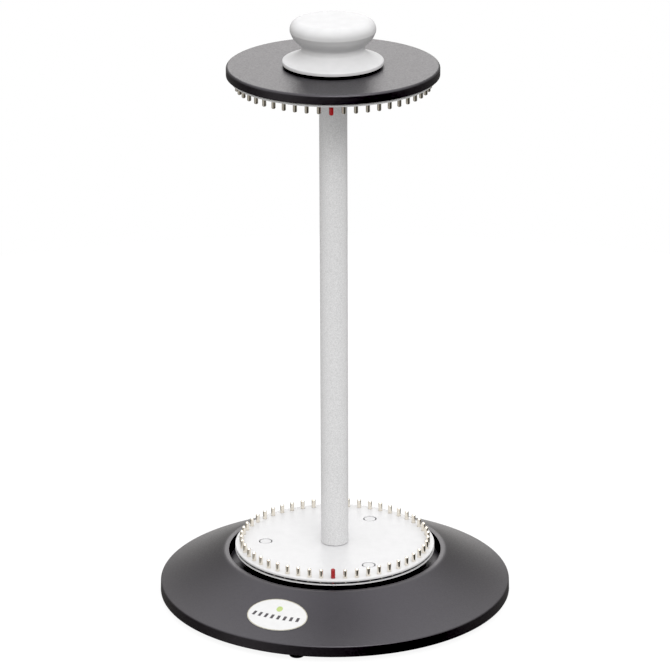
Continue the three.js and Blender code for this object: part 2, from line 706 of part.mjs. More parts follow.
function placeKnob() {
  const washerBottom = CROWN_COVER_TOP_Z + GAP;
  place('knob_washer', 'dark',
    ring(CLEAR_R, KNOB_WASHER_R, washerBottom, KNOB_BOTTOM_Z - GAP, TUBE_ROUND));
  place('knob', 'white', knob());
  place('knob_insert', 'brass',
    ring(CLEAR_R, INSERT_R, KNOB_BOTTOM_Z + GAP, INSERT_TOP_Z, SMALL_ROUND));
  place('knob_stud', 'zinc', rod(STUD_R, STUD_BOTTOM_Z, STUD_TOP_Z));
}

// ---- the label ---------------------------------------------------------------------------
// The radius on the cone at a distance measured down the slope from its inner edge.
function radiusDownSlope(length) {
  const step = 0.1;
  let radius = CONE_INNER_R;
  for (let gone = 0; gone < length; gone += step) {
    const slope = (coneHeight(radius) - coneHeight(radius + step)) / step;
    radius += step / Math.hypot(1, slope);
  }
  return radius;
}

// A thin oval disc, laid on the cone so that it follows the curve both ways.
function baseLabel() {
  const halfThick = LABEL_THICK / 2;
  const radii = [0, 0.4, 0.75, 1];
  const under = radii.map((r) => [r, -halfThick]);
  const over = radii.reverse().map((r) => [r, halfThick]);
  const flat = turned([...under, ...over], LABEL_ROUND);
  const position = flat.attributes.position;
  const centreR = radiusDownSlope(LABEL_SLOPE_LENGTH);
  for (let i = 0; i < position.count; i += 1) {
    const along = (position.getX(i) * LABEL_WIDTH) / 2;
    const down = LABEL_SLOPE_LENGTH - (position.getY(i) * LABEL_HEIGHT) / 2;
    const lift = GAP + halfThick + position.getZ(i);
    const radius = radiusDownSlope(down);
    const tilt = Math.atan(coneHeight(radius - 0.5) - coneHeight(radius + 0.5));
    const [x, y] = onCircle(radius + lift * Math.sin(tilt),
      LABEL_ANGLE_DEG - 90 + degrees(along / centreR));
    position.setXYZ(i, x, y, coneHeight(radius) + lift * Math.cos(tilt));
  }
  return flat;
}

placeFoot();
place('base_label', 'label', baseLabel());
placeBearing();
placeTurntable();
placeColumn();
placeCrown();
placeKnob();

export default object;
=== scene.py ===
"""Rotary card file: the finished look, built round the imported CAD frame.

Lengths in the outlines are millimetres, and build() turns them into metres. Each piece takes
its place and its main sizes from the CAD node that it stands for.
"""
import math

import bmesh
import bpy
from mathutils import Matrix, Vector


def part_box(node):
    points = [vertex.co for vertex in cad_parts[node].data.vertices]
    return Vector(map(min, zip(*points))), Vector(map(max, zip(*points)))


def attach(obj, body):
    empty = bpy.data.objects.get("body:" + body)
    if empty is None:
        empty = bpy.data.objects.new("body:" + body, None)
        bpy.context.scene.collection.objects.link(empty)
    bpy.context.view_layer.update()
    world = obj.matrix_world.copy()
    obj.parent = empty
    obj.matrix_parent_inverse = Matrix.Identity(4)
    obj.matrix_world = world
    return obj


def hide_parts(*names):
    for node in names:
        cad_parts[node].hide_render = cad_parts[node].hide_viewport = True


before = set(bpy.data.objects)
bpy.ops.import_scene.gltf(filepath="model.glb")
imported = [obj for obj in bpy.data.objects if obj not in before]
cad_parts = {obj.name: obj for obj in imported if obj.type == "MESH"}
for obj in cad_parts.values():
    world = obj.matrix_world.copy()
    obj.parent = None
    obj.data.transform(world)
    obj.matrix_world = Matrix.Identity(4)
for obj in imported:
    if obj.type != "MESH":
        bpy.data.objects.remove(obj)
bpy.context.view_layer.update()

MM = 0.001

# ---- driving dimensions, in millimetres ----------------------------------------------------
ROUND = 192  # segments of the large turned pieces
GRIP_ROUND = 128  # segments of the column and the knob
MEDIUM_ROUND = 96  # segments of the hub, the ball cage and the label
SMALL_ROUND = 64  # segments of shafts, feet and spacers
THREAD_ROUND = 48  # segments of the larger threads
SCREW_ROUND = 32
PIN_ROUND = 24
FILLET_STEPS = 4
GAP = 0.3  # clearance that the CAD keeps between neighbours
HAIR_EDGE = 0.1  # roundings of the edges, from crisp to soft
FINE_EDGE = 0.2
SHEET_EDGE = 0.25
EDGE = 0.3
TURNED_EDGE = 0.4
SOFT_EDGE = 0.5

CONE_INNER_R = 75.5  # the moulded foot's concave cone, as a parabola
CONE_OUTER_R = 114.3
CONE_INNER_Z = 29.4
CONE_INNER_SLOPE = 0.62
CONE_OUTER_SLOPE = 0.32
CONE_STEPS = 28
CONE_WALL = 2.8
CONE_UNDER_STEPS = 10
LIP_R = 69.9
LIP_FILLET = 7.0
WELL_FLOOR_Z = 22.5
INSIDE_FILLET = 0.8  # inner corners of the recess and of the spindle's flange
SHELL = 2.4  # wall of the recess, and of the crown cover
RIM_WALL = 2.6
RIM_FILLET = 1.1
RIM_STEPS = 8
RIM_DRAFT = 0.2
RIM_HEIGHT = 6.5
RIM_INNER_TOP_Z = 8.6
BALLAST_INNER_R = 42.0
BALLAST_FILLET = 1.2

SMALL_SCREW_R = 1.5  # foot and crown screws
SCREW_R = 2.0  # plate and retaining screws
SMALL_SCREW_HOLE_R = 1.8
SCREW_HOLE_R = 2.3
WASHER_HOLE_R = 2.4
FINE_THREAD = (0.7, 0.2)  # pitch and depth
STUD_THREAD = (1.25, 0.5)
STUD_R = 4.0
STUD_HOLE_R = 4.3
TUBE_BORE_R = 6.8
FOOT_POCKET_R = 3.0  # pocket of a foot's screw head
FOOT_POCKET_Z = 2.4

SPINDLE_R = 8.0
SPINDLE_FLANGE = 3.0
SPINDLE_SHOULDER_Z = 28.9
SPINDLE_BORE_Z = 38.0  # lower end of its bore, above the drill's tip
SPINDLE_BORE_TIP_Z = 37.0
NUT_HOLE_R = 4.2
HUB_STEM_R = 6.5

RACE_INNER_R = 33.0
GROOVE_R = 2.9
GROOVE_STEPS = 12
BALL_COUNT = 12
BALL_CIRCLE_R = 40.0
BALL_R = 2.6
BALL_POCKET_R = 2.75
CAGE_INNER_R = 36.0
CAGE_OUTER_R = 44.0
CAGE_HALF_THICK = 0.8

PIN_COUNT = 50
PIN_CIRCLE_R = 61.7
PIN_R = 1.3
INDEX_PIN_R = 1.4
PIN_FOOT_R = 2.0  # riveted head of a pin, in the slot behind its disc
PIN_FOOT_THICK = 0.6
PIN_DOME = 0.72  # height of a pin's domed tip, as a share of its radius
PIN_FIT = 0.1  # clearance round a pin
TONGUE_WIDTH = 1.3  # flat tongue that ties a pin's foot to the discs' edge
TONGUE_OUTER_R = 65.7
# the carrier is a real part, and it is also painted shade: it is black and reaches nearly to the
# discs' rim so that the slot between the discs shows dark
CARRIER_INNER_R = 54.0
CARRIER_OUTER_R = 65.4
CARRIER_BOTTOM = -0.1  # from the underside of the pins' feet
CARRIER_TOP = 0.75
LOWER_DISC_THINNER = 0.35  # opens the dark slot between the turntable's discs
CAP_HOLE_R = 4.5
CAP_SEAM = 0.5  # makes a cap smaller, so that the ring round it shows
CAP_FILLET = 0.35
CAP_CIRCLE_R = 45.7
CAP_COUNT = 3
CAP_FIRST_DEG = 60.0
FOOT_CIRCLE_R = 107.2
FOOT_COUNT = 4
FOOT_FIRST_DEG = -102.1

LABEL_ANGLE_DEG = -22.6
LABEL_WIDTH = 41.5
LABEL_HEIGHT = 26.5
LABEL_SLOPE_LENGTH = 20.2
LABEL_THICK = 0.25
LABEL_LIFT = 0.03  # adhesive between the label and the foot
LABEL_PROFILE = 0.2  # thickness and fillet of the label's outline before it is laid on the cone
LABEL_PROFILE_FILLET = 0.06
LABEL_RINGS = 6
BORDER_INSET = 0.1
BORDER_WIDTH = 0.45
INK_THICK = 0.05
INK_EDGE = 0.01
INK_SINK = 0.02  # depth of the ink in the film
BAR_COUNT = 8
BAR_PITCH = 4.3
BAR_WIDTH = 1.9
BAR_HEIGHT = 3.6
BAR_SLANT = 0.6
DOT_R = 2.2
DOT_Y = 5.2

CROWN_SEAT_R = 14.0  # boss in the middle of the crown cover
CROWN_SKIRT_INNER_R = 62.0
CROWN_PLAY = 0.4  # between the crown's upper disc and its cover
CROWN_FILLET = 1.5
CROWN_BOSS_R = 4.0

KNOB_HEAD_R = 27.4
KNOB_HEAD_FILLET = 5.6
KNOB_CREASE_DEG = 13.0


# ---- reading the frame ---------------------------------------------------------------------
class Extent:
    """Heights and radius of a CAD node, in millimetres."""

    def __init__(self, node):
        low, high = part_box(node)
        self.bottom = low.z / MM
        self.top = high.z / MM
        self.radius = max(high.x - low.x, high.y - low.y) / 2 / MM

    @property
    def height(self):
        return self.top - self.bottom


def on_circle(radius, degrees):
    angle = math.radians(degrees)
    return radius * math.cos(angle), radius * math.sin(angle)


def places(count, radius, first_degrees):
    return [on_circle(radius, first_degrees + 360 * i / count) for i in range(count)]


CAP_PLACES = places(CAP_COUNT, CAP_CIRCLE_R, CAP_FIRST_DEG)
FOOT_PLACES = places(FOOT_COUNT, FOOT_CIRCLE_R, FOOT_FIRST_DEG)
PIN_PLACES = places(PIN_COUNT, PIN_CIRCLE_R, -90.0)


# ---- outlines ------------------------------------------------------------------------------
def arc(centre_r, centre_z, radius, from_deg, to_deg, steps):
    """Points of a circular arc in an outline."""
    found = []
    for i in range(steps + 1):
        dr, dz = on_circle(radius, from_deg + (to_deg - from_deg) * i / steps)
        found.append((centre_r + dr, centre_z + dz))
    return found


def filleted(before, corner, after, radius):
    """The arc that rounds a corner of an outline."""
    corner = Vector(corner)
    back = Vector(before) - corner
    on = Vector(after) - corner
    half = back.angle(on) / 2
    reach = min(radius / math.tan(half), back.length / 2, on.length / 2)
    start = corner + back.normalized() * reach
    end = corner + on.normalized() * reach
    centre = corner + (back.normalized() + on.normalized()).normalized() * reach / math.cos(half)
    first = (start - centre).xy
    sweep = math.atan2(first.cross(end - centre), first.dot(end - centre))
    turns = [Matrix.Rotation(sweep * i / FILLET_STEPS, 2) for i in range(FILLET_STEPS + 1)]
    return [tuple(centre + turn @ first) for turn in turns]


def rounded(corners, closed=True):
    """An outline from (radius, height) corners, or (radius, height, fillet) for a rounded one."""
    points = []
    last = len(corners) - 1
    for i, corner in enumerate(corners):
        inside = closed or 0 < i < last
        if len(corner) == 2 or not inside:
            points.append(tuple(corner[:2]))
            continue
        before = corners[i - 1][:2]
        after = corners[(i + 1) % len(corners)][:2]
        points += filleted(before, corner[:2], after, corner[2])
    return points


def spline(points, steps):
    """A smooth line through the points, as Catmull-Rom arcs."""
    knots = [Vector(p) for p in points]
    knots = [2 * knots[0] - knots[1], *knots, 2 * knots[-1] - knots[-2]]
    found = []
    for a, b, c, d in zip(knots, knots[1:], knots[2:], knots[3:]):
        for i in range(steps):
            t = i / steps
            p = b + (c - a) * t / 2 + (a - 2.5 * b + 2 * c - d / 2) * t * t
            found.append(tuple(p + (1.5 * (b - c) + (d - a) / 2) * t * t * t))
    found.append(tuple(knots[-2]))
    return found


def threaded(radius, bottom, top, pitch=0.9, depth=0.25):
    """The side of a screw thread, drawn as rings, from its lower end to its upper end."""
    turns = int((top - bottom) / pitch)
    found = [(radius, bottom)]
    for i in range(turns):
        z = bottom + pitch * i
        found += [(radius, z + pitch * 0.15), (radius - depth, z + pitch * 0.5),
                  (radius, z + pitch * 0.85)]
    found.append((radius, top))
    return found


def cone_height(radius):
    """Height of the moulded foot's upper surface between the lip and the rim."""
    run = radius - CONE_INNER_R
    flattening = (CONE_INNER_SLOPE - CONE_OUTER_SLOPE) / (CONE_OUTER_R - CONE_INNER_R)
    return CONE_INNER_Z - CONE_INNER_SLOPE * run + flattening * run * run / 2


def cone_line(from_r, to_r, drop=0.0, steps=CONE_STEPS):
    radii = [from_r + (to_r - from_r) * i / steps for i in range(steps + 1)]
    return [(r, cone_height(r) - drop) for r in radii]


# ---- meshes --------------------------------------------------------------------------------
def linked(name, mesh):
    piece = bpy.data.objects.new(name, mesh)
    bpy.context.scene.collection.objects.link(piece)
    return piece


def shade_smooth(mesh, sharp_degrees=32.0):
    mesh.polygons.foreach_set("use_smooth", [True] * len(mesh.polygons))
    mesh.set_sharp_from_angle(angle=math.radians(sharp_degrees))


def build(name, vertices, faces):
    """A piece from vertices in millimetres."""
    mesh = bpy.data.meshes.new(name)
    mesh.from_pydata([Vector(v) * MM for v in vertices], [], faces)
    mesh.validate()
    shade_smooth(mesh)
    return linked(name, mesh)


def turned(name, outline, closed=True, segments=ROUND, at=(0.0, 0.0)):
    """Turns an outline of (radius, height) points, counter-clockwise, about an upright axis."""
    vertices, rings, faces = [], [], []
    for r, z in outline:
        if r < 1e-6:
            rings.append([len(vertices)] * segments)
            vertices.append((at[0], at[1], z))
            continue
        rings.append(list(range(len(vertices), len(vertices) + segments)))
        for i in range(segments):
            x, y = on_circle(r, 360 * i / segments)
            vertices.append((at[0] + x, at[1] + y, z))
    pairs = list(zip(rings, rings[1:]))
    if closed:
        pairs.append((rings[-1], rings[0]))
    for lower, upper in pairs:
        for i in range(segments):
            j = (i + 1) % segments
            loop = dict.fromkeys((lower[i], lower[j], upper[j], upper[i]))
            if len(loop) > 2:
                faces.append(tuple(loop))
    return build(name, vertices, faces)


def ring(name, inner, outer, bottom, top, edge=0.15, segments=ROUND):
    outline = rounded([
        (inner, bottom, edge),
        (outer, bottom, edge),
        (outer, top, edge),
        (inner, top, edge),
    ])
    return turned(name, outline, segments=segments)


def circle(radius, centre=(0.0, 0.0), points=SMALL_ROUND):
    return [(centre[0] + x, centre[1] + y) for x, y in places(points, radius, 0.0)]


def plate(name, outlines, bottom, top, edge):
    """A flat plate between two heights. The first outline is its rim and the others are holes."""
    curve = bpy.data.curves.new(name, "CURVE")
    curve.dimensions = "2D"
    curve.fill_mode = "BOTH"
    curve.extrude = ((top - bottom) / 2 - edge) * MM
    curve.bevel_depth = edge * MM
    curve.offset = -edge * MM
    curve.bevel_resolution = 2
    for outline in outlines:
        line = curve.splines.new("POLY")
        line.points.add(len(outline) - 1)
        for point, (x, y) in zip(line.points, outline):
            point.co = (x * MM, y * MM, 0.0, 1.0)
        line.use_cyclic_u = True
    maker = linked(name + "_outline", curve)
    evaluated = maker.evaluated_get(bpy.context.evaluated_depsgraph_get())
    mesh = bpy.data.meshes.new_from_object(evaluated)
    bpy.data.objects.remove(maker)
    mesh.transform(Matrix.Translation((0.0, 0.0, (top + bottom) / 2 * MM)))
    welded(mesh)
    shade_smooth(mesh)
    mesh.name = name
    return linked(name, mesh)


def welded(mesh):
    work = bmesh.new()
    work.from_mesh(mesh)
    bmesh.ops.remove_doubles(work, verts=work.verts, dist=0.002 * MM)
    bmesh.ops.recalc_face_normals(work, faces=work.faces)
    work.to_mesh(mesh)
    work.free()


def merged(name, objects):
    """One piece from several separate bodies."""
    work = bmesh.new()
    for one in objects:
        work.from_mesh(one.data)
        bpy.data.objects.remove(one)
    mesh = bpy.data.meshes.new(name)
    work.to_mesh(mesh)
    work.free()
    shade_smooth(mesh)
    return linked(name, mesh)


def boolean(piece, tools, operation, crossing=False):
    """Cuts the tools out of a piece, or joins them to it. They may cross each other if told."""
    tool = merged(piece.name + "_tool", tools)
    modifier = piece.modifiers.new("boolean", "BOOLEAN")
    modifier.operation = operation
    modifier.solver = "EXACT"
    modifier.use_self = crossing
    modifier.object = tool
    evaluated = piece.evaluated_get(bpy.context.evaluated_depsgraph_get())
    mesh = bpy.data.meshes.new_from_object(evaluated)
    piece.modifiers.clear()
    piece.data = mesh
    bpy.data.objects.remove(tool)
    shade_smooth(mesh)
    return piece


def turned_round(piece, count, skip_first=False):
    """Copies of a piece at equal steps about the axis. The original is used up."""
    made = []
    for i in range(1 if skip_first else 0, count):
        mesh = piece.data.copy()
        mesh.transform(Matrix.Rotation(math.tau * i / count, 4, "Z"))
        made.append(linked(piece.name, mesh))
    bpy.data.objects.remove(piece)
    return made


def block(name, centre, size):
    """A plain box, used only to cut with."""
    x, y, z = (s / 2 for s in size)
    corners = [(i, j, k) for i in (-x, x) for j in (-y, y) for k in (-z, z)]
    vertices = [tuple(c + d for c, d in zip(centre, corner)) for corner in corners]
    faces = [(0, 1, 3, 2), (4, 6, 7, 5), (0, 4, 5, 1),
             (2, 3, 7, 6), (0, 2, 6, 4), (1, 5, 7, 3)]
    return build(name, vertices, faces)


def cross_recess(piece, at, face_z, depth, reach):
    """Cuts a cross for a screwdriver into a head whose face is at face_z."""
    width = reach * 0.36
    arms = [(2 * reach, width), (width, 2 * reach)]
    tools = [block("arm", (at[0], at[1], face_z), (w, h, 2 * depth)) for w, h in arms]
    return boolean(piece, tools, "DIFFERENCE", crossing=True)


# ---- materials -----------------------------------------------------------------------------
class Finish:
    """A procedural material: mottled colour and roughness, and a fine bump, in object space."""

    def __init__(self, name, roughness, metallic=0.0, specular=0.5):
        self.material = bpy.data.materials.new(name)
        self.material.use_nodes = True
        self.nodes = self.material.node_tree.nodes
        self.links = self.material.node_tree.links
        self.shader = self.nodes["Principled BSDF"]
        self.shader.inputs["Metallic"].default_value = metallic
        self.shader.inputs["Roughness"].default_value = roughness
        self.shader.inputs["Specular IOR Level"].default_value = specular
        self.roughness = roughness
        self.place = self.nodes.new("ShaderNodeTexCoord").outputs["Object"]

    def noise(self, size_mm, detail=3.0, stretch=(1.0, 1.0, 1.0)):
        """Noise of a given grain size, longer along an axis whose stretch is below 1."""
        mapping = self.nodes.new("ShaderNodeMapping")
        mapping.inputs["Scale"].default_value = stretch
        texture = self.nodes.new("ShaderNodeTexNoise")
        texture.inputs["Scale"].default_value = 1.0 / (size_mm * MM)
        texture.inputs["Detail"].default_value = detail
        self.links.new(self.place, mapping.inputs["Vector"])
        self.links.new(mapping.outputs["Vector"], texture.inputs["Vector"])
        return texture.outputs["Fac"]

    def colour(self, dark, light, source, low=0.35, high=0.65):
        ramp = self.nodes.new("ShaderNodeValToRGB")
        ramp.color_ramp.elements[0].position = low
        ramp.color_ramp.elements[0].color = (*dark, 1.0)
        ramp.color_ramp.elements[1].position = high
        ramp.color_ramp.elements[1].color = (*light, 1.0)
        self.links.new(source, ramp.inputs["Fac"])
        self.links.new(ramp.outputs["Color"], self.shader.inputs["Base Color"])
        return self

    def gloss(self, spread, source):
        """Lets the roughness vary by plus or minus spread."""
        change = self.nodes.new("ShaderNodeMapRange")
        change.inputs["From Min"].default_value = 0.3
        change.inputs["From Max"].default_value = 0.7
        change.inputs["To Min"].default_value = self.roughness - spread
        change.inputs["To Max"].default_value = self.roughness + spread
        self.links.new(source, change.inputs["Value"])
        self.links.new(change.outputs["Result"], self.shader.inputs["Roughness"])
        return self

    def bump(self, *layers):
        """Adds bump layers, each a (source, depth in millimetres, strength) triple."""
        normal = None
        for source, depth_mm, strength in layers:
            bump = self.nodes.new("ShaderNodeBump")
            bump.inputs["Strength"].default_value = strength
            bump.inputs["Distance"].default_value = depth_mm * MM
            self.links.new(source, bump.inputs["Height"])
            if normal is not None:
                self.links.new(normal, bump.inputs["Normal"])
            normal = bump.outputs["Normal"]
        self.links.new(normal, self.shader.inputs["Normal"])
        return self


def black_plastic():
    """Moulded black plastic with a fine spark-eroded grain."""
    finish = Finish("black_plastic", roughness=0.4, specular=1.0)
    finish.colour((0.0018, 0.0017, 0.0018), (0.0035, 0.0033, 0.0035), finish.noise(2.5))
    finish.gloss(0.05, finish.noise(1.1))
    finish.bump((finish.noise(0.7, 3.0), 0.08, 0.85))
    finish.shader.inputs["Specular Tint"].default_value = (0.96, 0.92, 1.0, 1.0)
    return finish.material


def white_paint():
    """Satin white powder coat on sheet steel, with a faint orange peel."""
    finish = Finish("white_paint", roughness=0.42, specular=0.2)
    finish.colour((0.55, 0.55, 0.555), (0.565, 0.565, 0.57), finish.noise(6.0))
    finish.gloss(0.05, finish.noise(9.0))
    finish.bump((finish.noise(1.6, 2.0), 0.03, 0.25), (finish.noise(0.5, 2.0), 0.01, 0.2))
    return finish.material


def white_plastic():
    """Satin white moulded plastic."""
    finish = Finish("white_plastic", roughness=0.5, specular=0.08)
    finish.colour((0.545, 0.545, 0.55), (0.57, 0.57, 0.575), finish.noise(8.0))
    finish.gloss(0.04, finish.noise(11.0))
    finish.bump((finish.noise(0.6, 3.0), 0.015, 0.2))
    return finish.material


def grey_paint():
    """Light grey satin coat with a fine speckle, on the column."""
    finish = Finish("grey_paint", roughness=0.4)
    finish.colour((0.5, 0.5, 0.505), (0.63, 0.63, 0.635), finish.noise(0.7, 4.0))
    finish.gloss(0.06, finish.noise(5.0))
    finish.bump((finish.noise(0.5, 3.0), 0.02, 0.25))
    return finish.material


def pin_chrome():
    """Polished nickel plate, a little warm."""
    finish = Finish("pin_chrome", roughness=0.12, metallic=1.0)
    finish.colour((0.84, 0.79, 0.7), (0.92, 0.87, 0.78), finish.noise(1.5))
    finish.gloss(0.03, finish.noise(0.8))
    finish.bump((finish.noise(0.3, 2.0), 0.004, 0.3))
    return finish.material


def red_plastic():
    """Glossy dark red sleeve of the index pins."""
    finish = Finish("red_plastic", roughness=0.3)
    finish.colour((0.24, 0.022, 0.024), (0.32, 0.032, 0.034), finish.noise(1.2))
    finish.gloss(0.04, finish.noise(1.5))
    finish.bump((finish.noise(0.4, 2.0), 0.006, 0.3))
    return finish.material


def bright_steel():
    """Turned or pressed steel with fine lines."""
    finish = Finish("bright_steel", roughness=0.32, metallic=1.0)
    finish.colour((0.42, 0.43, 0.44), (0.52, 0.53, 0.54), finish.noise(5.0))
    finish.gloss(0.07, finish.noise(3.0))
    finish.bump((finish.noise(0.4, 2.0, (1.0, 0.08, 1.0)), 0.01, 0.35))
    return finish.material


def zinc():
    """Zinc plate with its cloudy blue-grey mottling."""
    finish = Finish("zinc", roughness=0.36, metallic=1.0)
    finish.colour((0.5, 0.52, 0.55), (0.62, 0.63, 0.64), finish.noise(1.8, 5.0))
    finish.gloss(0.1, finish.noise(1.2))
    finish.bump((finish.noise(0.3, 3.0), 0.008, 0.3))
    return finish.material


def iron():
    """Rough cast iron under black primer."""
    finish = Finish("iron", roughness=0.68, metallic=0.6)
    finish.colour((0.03, 0.03, 0.033), (0.07, 0.068, 0.066), finish.noise(4.0, 6.0))
    finish.gloss(0.1, finish.noise(2.0))
    finish.bump((finish.noise(1.4, 6.0), 0.15, 0.6))
    return finish.material


def brass():
    """Turned brass with fine lines."""
    finish = Finish("brass", roughness=0.28, metallic=1.0)
    finish.colour((0.5, 0.36, 0.13), (0.6, 0.45, 0.19), finish.noise(2.0))
    finish.gloss(0.06, finish.noise(1.0))
    finish.bump((finish.noise(0.35, 2.0, (0.1, 0.1, 1.0)), 0.008, 0.4))
    return finish.material


def rubber():
    """Matt black rubber, a little dusty."""
    finish = Finish("rubber", roughness=0.75, specular=0.35)
    finish.colour((0.008, 0.008, 0.008), (0.02, 0.02, 0.02), finish.noise(1.5, 5.0))
    finish.gloss(0.08, finish.noise(2.0))
    finish.bump((finish.noise(0.5, 4.0), 0.03, 0.5))
    return finish.material


def label_film():
    """Satin white self-adhesive film."""
    finish = Finish("label_film", roughness=0.33, specular=0.3)
    finish.colour((0.55, 0.55, 0.55), (0.57, 0.57, 0.57), finish.noise(4.0))
    finish.gloss(0.04, finish.noise(6.0))
    finish.bump((finish.noise(0.8, 2.0), 0.006, 0.25))
    return finish.material


def ink(name, dark, light):
    """Screen-printed ink, a little uneven."""
    finish = Finish(name, roughness=0.45, specular=0.4)
    finish.colour(dark, light, finish.noise(1.2, 4.0))
    finish.gloss(0.06, finish.noise(2.0))
    finish.bump((finish.noise(0.4, 3.0), 0.004, 0.3))
    return finish.material


MATERIALS = {make.__name__: make() for make in (
    black_plastic, white_paint, white_plastic, grey_paint, pin_chrome, red_plastic,
    bright_steel, zinc, iron, brass, rubber, label_film)}


def even_normals(piece):
    """Lets the large flat faces decide the shading where they meet a fillet."""
    modifier = piece.modifiers.new("normals", "WEIGHTED_NORMAL")
    modifier.keep_sharp = True
    evaluated = piece.evaluated_get(bpy.context.evaluated_depsgraph_get())
    mesh = bpy.data.meshes.new_from_object(evaluated)
    piece.modifiers.clear()
    piece.data = mesh


def finished(piece, body, slot, *nodes):
    """Gives a piece its material and body, and hides the CAD nodes that it stands for."""
    even_normals(piece)
    piece.data.materials.clear()
    piece.data.materials.append(MATERIALS[slot])
    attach(piece, body)
    if nodes:
        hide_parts(*nodes)
    return piece


def simple_ring(name, node, inner, edge, slot, segments=ROUND):
    """A plain ring on the carousel, such as a spacer, a washer or the column."""
    size = Extent(node)
    piece = ring(name, inner, size.radius, size.bottom, size.top, edge, segments)
    return finished(piece, "carousel", slot, node)


# ---- the foot ------------------------------------------------------------------------------
def base_cover():
    """The moulded shell: rim, concave cone, rounded lip and the recess with its floor."""
    size = Extent("base_cover")
    rim_top = size.bottom + RIM_HEIGHT
    rim_inner = size.radius - RIM_WALL
    hole = Extent("spindle").radius / 2
    slope_deg = math.degrees(math.atan(CONE_OUTER_SLOPE))
    rim = arc(size.radius - RIM_DRAFT - RIM_FILLET, rim_top, RIM_FILLET,
              0.0, 90.0 - slope_deg, RIM_STEPS)
    land_edge = CONE_INNER_R - (size.top - CONE_INNER_Z) / CONE_INNER_SLOPE
    lip = rounded([
        (CONE_INNER_R, CONE_INNER_Z),
        (land_edge, size.top, LIP_FILLET),
        (LIP_R, size.top, EDGE),
        (LIP_R, WELL_FLOOR_Z, INSIDE_FILLET),
        (hole, WELL_FLOOR_Z, EDGE),
        (hole, WELL_FLOOR_Z - SHELL, EDGE),
        (LIP_R + SHELL, WELL_FLOOR_Z - SHELL),
    ], closed=False)
    under = cone_line(LIP_R + 2 * SHELL, rim_inner - SHELL, CONE_WALL, CONE_UNDER_STEPS)
    foot_edge = [(rim_inner, size.bottom), (size.radius, size.bottom, SOFT_EDGE), rim[0]]
    outline = [
        *rounded(foot_edge, closed=False)[:-1],
        *rim,
        *cone_line(rim[-1][0], CONE_INNER_R)[1:-1],
        *lip,
        *under,
        (rim_inner, RIM_INNER_TOP_Z),
    ]
    shell = turned("base_cover_shell", outline)
    return finished(shell, "stand", "black_plastic", "base_cover")


def base_plate():
    size = Extent("base_plate")
    holes = [circle(SMALL_SCREW_HOLE_R, at, SCREW_ROUND) for at in FOOT_PLACES]
    outlines = [circle(size.radius, points=ROUND), circle(STUD_HOLE_R), *holes]
    piece = plate("base_plate_sheet", outlines, size.bottom, size.top, SHEET_EDGE)
    return finished(piece, "stand", "bright_steel", "base_plate")


def ballast():
    size = Extent("ballast_ring")
    piece = ring("ballast_casting", BALLAST_INNER_R, size.radius, size.bottom, size.top,
                 BALLAST_FILLET)
    return finished(piece, "stand", "iron", "ballast_ring")


def rubber_foot(number, at):
    size = Extent(f"foot_{number}")
    outline = rounded([
        (FOOT_POCKET_R, size.bottom, EDGE),
        (size.radius, size.bottom, 3 * EDGE),
        (size.radius, size.top, EDGE),
        (SMALL_SCREW_HOLE_R, size.top),
        (SMALL_SCREW_HOLE_R, FOOT_POCKET_Z),
        (FOOT_POCKET_R, FOOT_POCKET_Z),
    ])
    piece = turned(f"rubber_foot_{number}", outline, segments=SMALL_ROUND, at=at)
    return finished(piece, "stand", "rubber", f"foot_{number}")


def foot_screw(number, at):
    size = Extent(f"foot_screw_{number}")
    head_top = size.bottom + 1.5
    tip = 1.2
    head = [(0.0, size.bottom), (size.radius, size.bottom, 2 * EDGE), (size.radius, head_top)]
    outline = [
        *rounded(head, closed=False),
        *threaded(SMALL_SCREW_R, head_top, size.top - tip),
        (0.0, size.top),
    ]
    piece = turned(f"foot_screw_{number}_fine", outline, False, SCREW_ROUND, at)
    cross_recess(piece, at, size.bottom, depth=1.0, reach=1.5)
    return finished(piece, "stand", "zinc", f"foot_screw_{number}")


def spindle():
    size = Extent("spindle")
    flange_bottom = Extent("base_plate").top + GAP
    flange_top = flange_bottom + SPINDLE_FLANGE
    outline = rounded([
        (0.0, size.bottom),
        (STUD_R, size.bottom, TURNED_EDGE),
        (STUD_R, flange_bottom),
        (size.radius, flange_bottom, EDGE),
        (size.radius, flange_top, SOFT_EDGE),
        (SPINDLE_R, flange_top, INSIDE_FILLET),
        (SPINDLE_R, SPINDLE_SHOULDER_Z, EDGE),
        (STUD_R, SPINDLE_SHOULDER_Z, FINE_EDGE),
        (STUD_R, size.top, TURNED_EDGE),
        (WASHER_HOLE_R, size.top, FINE_EDGE),
        (WASHER_HOLE_R, SPINDLE_BORE_Z),
        (0.0, SPINDLE_BORE_TIP_Z),
    ], closed=False)
    piece = turned("spindle_turned", outline, closed=False, segments=SMALL_ROUND)
    return finished(piece, "stand", "bright_steel", "spindle")


def spindle_nut():
    size = Extent("spindle_nut")
    outlines = [places(6, size.radius, -90.0), circle(NUT_HOLE_R, points=THREAD_ROUND)]
    piece = plate("spindle_nut_hex", outlines, size.bottom, size.top, SHEET_EDGE)
    return finished(piece, "stand", "zinc", "spindle_nut")


def retainer():
    washer = Extent("retaining_washer")
    piece = ring("retaining_washer_fine", WASHER_HOLE_R, washer.radius, washer.bottom, washer.top,
                 segments=SMALL_ROUND)
    finished(piece, "stand", "zinc", "retaining_washer")
    screw = Extent("retaining_screw")
    head_bottom = screw.top - 3.0
    tip = 0.4
    head = [(SCREW_R, head_bottom), (screw.radius, head_bottom, FINE_EDGE),
            (screw.radius, screw.top, 1.4), (0.0, screw.top)]
    outline = [
        (0.0, screw.bottom),
        *threaded(SCREW_R, screw.bottom + tip, head_bottom, *FINE_THREAD),
        *rounded(head, closed=False)[1:],
    ]
    piece = turned("retaining_screw_fine", outline, closed=False, segments=THREAD_ROUND)
    cross_recess(piece, (0.0, 0.0), screw.top, depth=1.6, reach=2.2)
    return finished(piece, "stand", "zinc", "retaining_screw")


